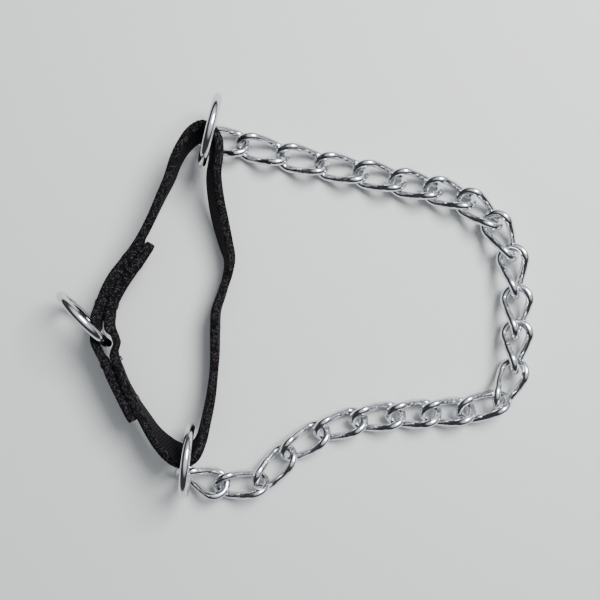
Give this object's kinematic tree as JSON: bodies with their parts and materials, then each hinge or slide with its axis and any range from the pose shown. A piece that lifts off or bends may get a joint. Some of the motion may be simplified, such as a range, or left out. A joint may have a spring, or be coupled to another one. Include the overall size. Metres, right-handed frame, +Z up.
{
  "type": "martingale dog collar",
  "caption": "Half-check collar: a folded control loop of webbing runs through two rings joined by a chain of twisted links, with a leash ring held between its sewn tails.",
  "frame": {"origin": "on the ground, under the middle of the collar's outline as it lies", "axes": "+X from the control loop towards the far side of the chain, +Y towards the upper slide ring, +Z up from the ground; units are metres here and millimetres in the source"},
  "size_m": [0.187, 0.159, 0.032],
  "materials": {
    "chain_steel": "bright plated wire",
    "ring_steel": "bright plated wire",
    "webbing": "matt woven nylon",
    "thread": "matt bonded thread"
  },
  "bodies": {
    "control_loop": {"control_strap": "webbing", "inner_tail_bartack": "thread", "upper_ring_bartack": "thread", "lower_ring_bartack": "thread", "outer_tail_bartack": "thread"},
    "leash_ring": {"leash_ring": "ring_steel"},
    "upper_ring": {"upper_slide_ring": "ring_steel"},
    "lower_ring": {"lower_slide_ring": "ring_steel"},
    "link_01": {"chain_link_01": "chain_steel"},
    "link_02": {"chain_link_02": "chain_steel"},
    "link_03": {"chain_link_03": "chain_steel"},
    "link_04": {"chain_link_04": "chain_steel"},
    "link_05": {"chain_link_05": "chain_steel"},
    "link_06": {"chain_link_06": "chain_steel"},
    "link_07": {"chain_link_07": "chain_steel"},
    "link_08": {"chain_link_08": "chain_steel"},
    "link_09": {"chain_link_09": "chain_steel"},
    "link_10": {"chain_link_10": "chain_steel"},
    "link_11": {"chain_link_11": "chain_steel"},
    "link_12": {"chain_link_12": "chain_steel"},
    "link_13": {"chain_link_13": "chain_steel"},
    "link_14": {"chain_link_14": "chain_steel"},
    "link_15": {"chain_link_15": "chain_steel"},
    "link_16": {"chain_link_16": "chain_steel"},
    "link_17": {"chain_link_17": "chain_steel"},
    "link_18": {"chain_link_18": "chain_steel"},
    "link_19": {"chain_link_19": "chain_steel"},
    "link_20": {"chain_link_20": "chain_steel"},
    "link_21": {"chain_link_21": "chain_steel"},
    "link_22": {"chain_link_22": "chain_steel"}
  },
  "joints": [
    {"name": "leash_ring_swing", "type": "hinge", "parent": "control_loop", "child": "leash_ring", "pos_m": [-0.0739, -0.01515, 0.014], "axis": [0, 0, 1], "range_deg": [-35, 14]},
    {"name": "upper_ring_slide", "type": "slide", "parent": "control_loop", "child": "upper_ring", "axis": [0.9903, -0.1392, 0], "range_m": [-0.003, 0.0005]},
    {"name": "lower_ring_slide", "type": "slide", "parent": "control_loop", "child": "lower_ring", "axis": [1, 0, 0], "range_m": [-0.003, 0]},
    {"name": "link_01_hinge", "type": "hinge", "parent": "upper_ring", "child": "link_01", "pos_m": [-0.0361, 0.06485, 0.005], "axis": [0, 0, 1], "range_deg": [-2.5, 0.8]},
    {"name": "link_02_hinge", "type": "hinge", "parent": "link_01", "child": "link_02", "pos_m": [-0.0222, 0.06225, 0.005], "axis": [0, 0, 1], "range_deg": [-9, 9]},
    {"name": "link_03_hinge", "type": "hinge", "parent": "link_02", "child": "link_03", "pos_m": [-0.0062, 0.05805, 0.005], "axis": [0, 0, 1], "range_deg": [-18.5, 18.5]},
    {"name": "link_04_hinge", "type": "hinge", "parent": "link_03", "child": "link_04", "pos_m": [0.0097, 0.05435, 0.005], "axis": [0, 0, 1], "range_deg": [-9.5, 9.5]},
    {"name": "link_05_hinge", "type": "hinge", "parent": "link_04", "child": "link_05", "pos_m": [0.0248, 0.05125, 0.005], "axis": [0, 0, 1], "range_deg": [-10.4, 10.4]},
    {"name": "link_06_hinge", "type": "hinge", "parent": "link_05", "child": "link_06", "pos_m": [0.04, 0.04765, 0.005], "axis": [0, 0, 1], "range_deg": [-15, 15]},
    {"name": "link_07_hinge", "type": "hinge", "parent": "link_06", "child": "link_07", "pos_m": [0.0536, 0.04465, 0.005], "axis": [0, 0, 1], "range_deg": [-1.5, 6.6]},
    {"name": "link_08_hinge", "type": "hinge", "parent": "link_07", "child": "link_08", "pos_m": [0.0671, 0.04025, 0.005], "axis": [0, 0, 1], "range_deg": [-5.6, 5.6]},
    {"name": "link_09_hinge", "type": "hinge", "parent": "link_08", "child": "link_09", "pos_m": [0.0777, 0.03225, 0.005], "axis": [0, 0, 1], "range_deg": [-1, 3.5]},
    {"name": "link_10_hinge", "type": "hinge", "parent": "link_09", "child": "link_10", "pos_m": [0.0849, 0.01945, 0.005], "axis": [0, 0, 1], "range_deg": [-2.9, 0.9]},
    {"name": "link_11_hinge", "type": "hinge", "parent": "link_10", "child": "link_11", "pos_m": [0.087, 0.00425, 0.005], "axis": [0, 0, 1], "range_deg": [-5.2, 1.3]},
    {"name": "link_22_hinge", "type": "hinge", "parent": "lower_ring", "child": "link_22", "pos_m": [-0.0441, -0.06895, 0.005], "axis": [0, 0, 1], "range_deg": [-0.5, 12.1]},
    {"name": "link_21_hinge", "type": "hinge", "parent": "link_22", "child": "link_21", "pos_m": [-0.0304, -0.07355, 0.005], "axis": [0, 0, 1], "range_deg": [-12, 9]},
    {"name": "link_20_hinge", "type": "hinge", "parent": "link_21", "child": "link_20", "pos_m": [-0.0146, -0.07255, 0.005], "axis": [0, 0, 1], "range_deg": [-15.6, 0.5]},
    {"name": "link_19_hinge", "type": "hinge", "parent": "link_20", "child": "link_19", "pos_m": [-0.004, -0.06045, 0.005], "axis": [0, 0, 1], "range_deg": [-19.2, 25.5]},
    {"name": "link_18_hinge", "type": "hinge", "parent": "link_19", "child": "link_18", "pos_m": [0.0096, -0.05175, 0.005], "axis": [0, 0, 1], "range_deg": [-3.9, 3]},
    {"name": "link_17_hinge", "type": "hinge", "parent": "link_18", "child": "link_17", "pos_m": [0.0242, -0.04715, 0.005], "axis": [0, 0, 1], "range_deg": [-10.1, 7.7]},
    {"name": "link_16_hinge", "type": "hinge", "parent": "link_17", "child": "link_16", "pos_m": [0.0391, -0.04535, 0.005], "axis": [0, 0, 1], "range_deg": [-8, 8]},
    {"name": "link_15_hinge", "type": "hinge", "parent": "link_16", "child": "link_15", "pos_m": [0.0527, -0.04455, 0.005], "axis": [0, 0, 1], "range_deg": [-15, 15]},
    {"name": "link_14_hinge", "type": "hinge", "parent": "link_15", "child": "link_14", "pos_m": [0.0665, -0.04375, 0.005], "axis": [0, 0, 1], "range_deg": [-8, 8]},
    {"name": "link_13_hinge", "type": "hinge", "parent": "link_14", "child": "link_13", "pos_m": [0.081, -0.03965, 0.005], "axis": [0, 0, 1], "range_deg": [-0.5, 2.9]},
    {"name": "link_12_hinge", "type": "hinge", "parent": "link_13", "child": "link_12", "pos_m": [0.0868, -0.02635, 0.005], "axis": [0, 0, 1], "range_deg": [-0.5, 1.6]}
  ],
  "couplings": [
    {"joint": "link_01_hinge", "follows": "upper_ring_slide", "rad_per_m": 11.81},
    {"joint": "link_03_hinge", "follows": "link_02_hinge", "ratio": -2},
    {"joint": "link_04_hinge", "follows": "link_02_hinge", "ratio": 1},
    {"joint": "link_05_hinge", "follows": "link_06_hinge", "ratio": -0.66},
    {"joint": "link_07_hinge", "follows": "upper_ring_slide", "rad_per_m": -35.39},
    {"joint": "link_08_hinge", "follows": "link_06_hinge", "ratio": -0.34},
    {"joint": "link_09_hinge", "follows": "upper_ring_slide", "rad_per_m": -17.45},
    {"joint": "link_10_hinge", "follows": "upper_ring_slide", "rad_per_m": 13.96},
    {"joint": "link_11_hinge", "follows": "upper_ring_slide", "rad_per_m": 27.07},
    {"joint": "link_22_hinge", "follows": "lower_ring_slide", "rad_per_m": -67.41},
    {"joint": "link_20_hinge", "follows": "lower_ring_slide", "rad_per_m": 87.83},
    {"joint": "link_19_hinge", "follows": "link_21_hinge", "ratio": -2.08},
    {"joint": "link_18_hinge", "follows": "link_21_hinge", "ratio": 0.28},
    {"joint": "link_17_hinge", "follows": "link_21_hinge", "ratio": 0.8},
    {"joint": "link_16_hinge", "follows": "link_15_hinge", "ratio": -0.5},
    {"joint": "link_14_hinge", "follows": "link_15_hinge", "ratio": -0.5},
    {"joint": "link_13_hinge", "follows": "lower_ring_slide", "rad_per_m": -13.96},
    {"joint": "link_12_hinge", "follows": "lower_ring_slide", "rad_per_m": -6.45}
  ]
}
